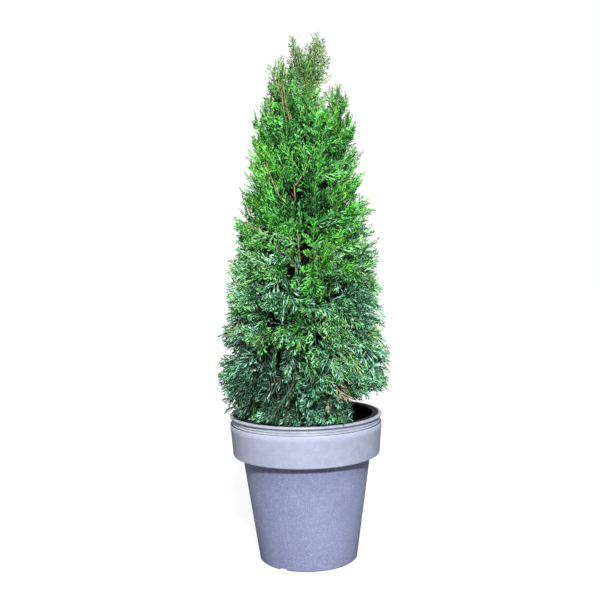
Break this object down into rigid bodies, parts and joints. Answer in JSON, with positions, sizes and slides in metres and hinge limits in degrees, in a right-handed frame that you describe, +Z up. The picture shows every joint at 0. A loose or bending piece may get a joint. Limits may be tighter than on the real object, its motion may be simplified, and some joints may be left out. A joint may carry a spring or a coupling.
{
  "type": "potted thuja",
  "caption": "Young column-shaped thuja with dense flat green sprays, in a tall round lavender-grey plastic planter with a wide collar.",
  "frame": {"origin": "centre of the planter's flat underside", "axes": "+Z up along the trunk, -Y is the front, +X to the right seen from the front"},
  "size_m": [0.4464, 0.4454, 1.371],
  "materials": {
    "planter": "matte, with a fine pale speckle",
    "liner": "satin",
    "soil": "dark potting mix of peat and bark",
    "bark": "thin fibrous bark",
    "foliage": "matte scale leaves in flat sprays"
  },
  "bodies": {
    "root": {"bough_2_1": "bark", "bough_2_2": "bark", "bough_2_3": "bark", "bough_2_4": "bark", "bough_2_5": "bark", "bough_2_6": "bark", "bough_3_1": "bark", "bough_3_2": "bark", "bough_3_3": "bark", "bough_3_4": "bark", "bough_3_5": "bark", "bough_3_6": "bark", "bough_5_1": "bark", "bough_5_2": "bark", "bough_5_3": "bark", "bough_5_4": "bark", "bough_5_5": "bark", "foliage_1_1": "foliage", "foliage_1_2": "foliage", "foliage_1_3": "foliage", "foliage_1_4": "foliage", "foliage_1_5": "foliage", "foliage_1_6": "foliage", "foliage_1_7": "foliage", "foliage_2_1": "foliage", "foliage_2_2": "foliage", "foliage_2_3": "foliage", "foliage_2_4": "foliage", "foliage_2_5": "foliage", "foliage_2_6": "foliage", "foliage_3_1": "foliage", "foliage_3_2": "foliage", "foliage_3_3": "foliage", "foliage_3_4": "foliage", "foliage_3_5": "foliage", "foliage_3_6": "foliage", "foliage_4_1": "foliage", "foliage_4_2": "foliage", "foliage_4_3": "foliage", "foliage_4_4": "foliage", "foliage_4_5": "foliage", "foliage_5_1": "foliage", "foliage_5_2": "foliage", "foliage_5_3": "foliage", "foliage_5_4": "foliage", "foliage_5_5": "foliage", "foliage_6_1": "foliage", "foliage_6_2": "foliage", "foliage_6_3": "foliage", "foliage_6_4": "foliage", "foliage_7_1": "foliage", "foliage_7_2": "foliage", "foliage_7_3": "foliage", "foliage_8_1": "foliage", "foliage_8_2": "foliage", "liner": "liner", "planter": "planter", "soil": "soil", "trunk": "bark"}
  },
  "joints": []
}
